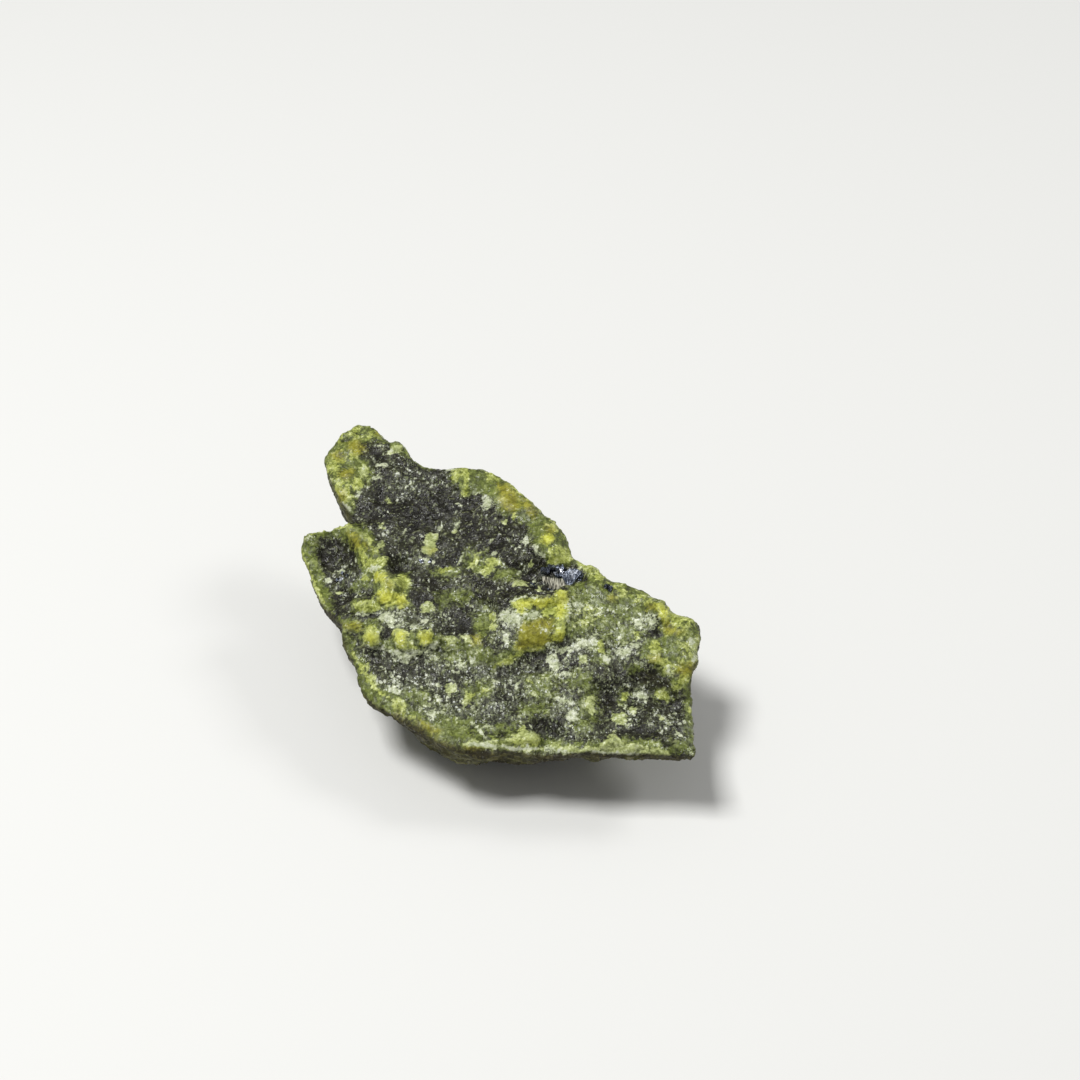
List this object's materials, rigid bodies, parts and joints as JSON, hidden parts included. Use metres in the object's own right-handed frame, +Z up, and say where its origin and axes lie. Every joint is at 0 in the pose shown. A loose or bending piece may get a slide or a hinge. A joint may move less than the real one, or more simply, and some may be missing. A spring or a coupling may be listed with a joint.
{
  "type": "serpentine rock",
  "caption": "Small broken chip of green serpentine rock with a rough, nearly flat upper face, thin lobed edges and a rounded belly that it rests on.",
  "frame": {"origin": "on the surface the stone rests on, under the middle of its box", "axes": "+Z up from the resting spot, +Y towards the back lobe, +X towards the square right-hand flank"},
  "size_m": [0.0278, 0.028, 0.0111],
  "materials": {
    "serpentine": "rough broken surface, dark green-grey with lime, amber and white patches and a waxy sparkle"
  },
  "bodies": {
    "root": {"serpentine_rock": "serpentine"}
  },
  "joints": []
}
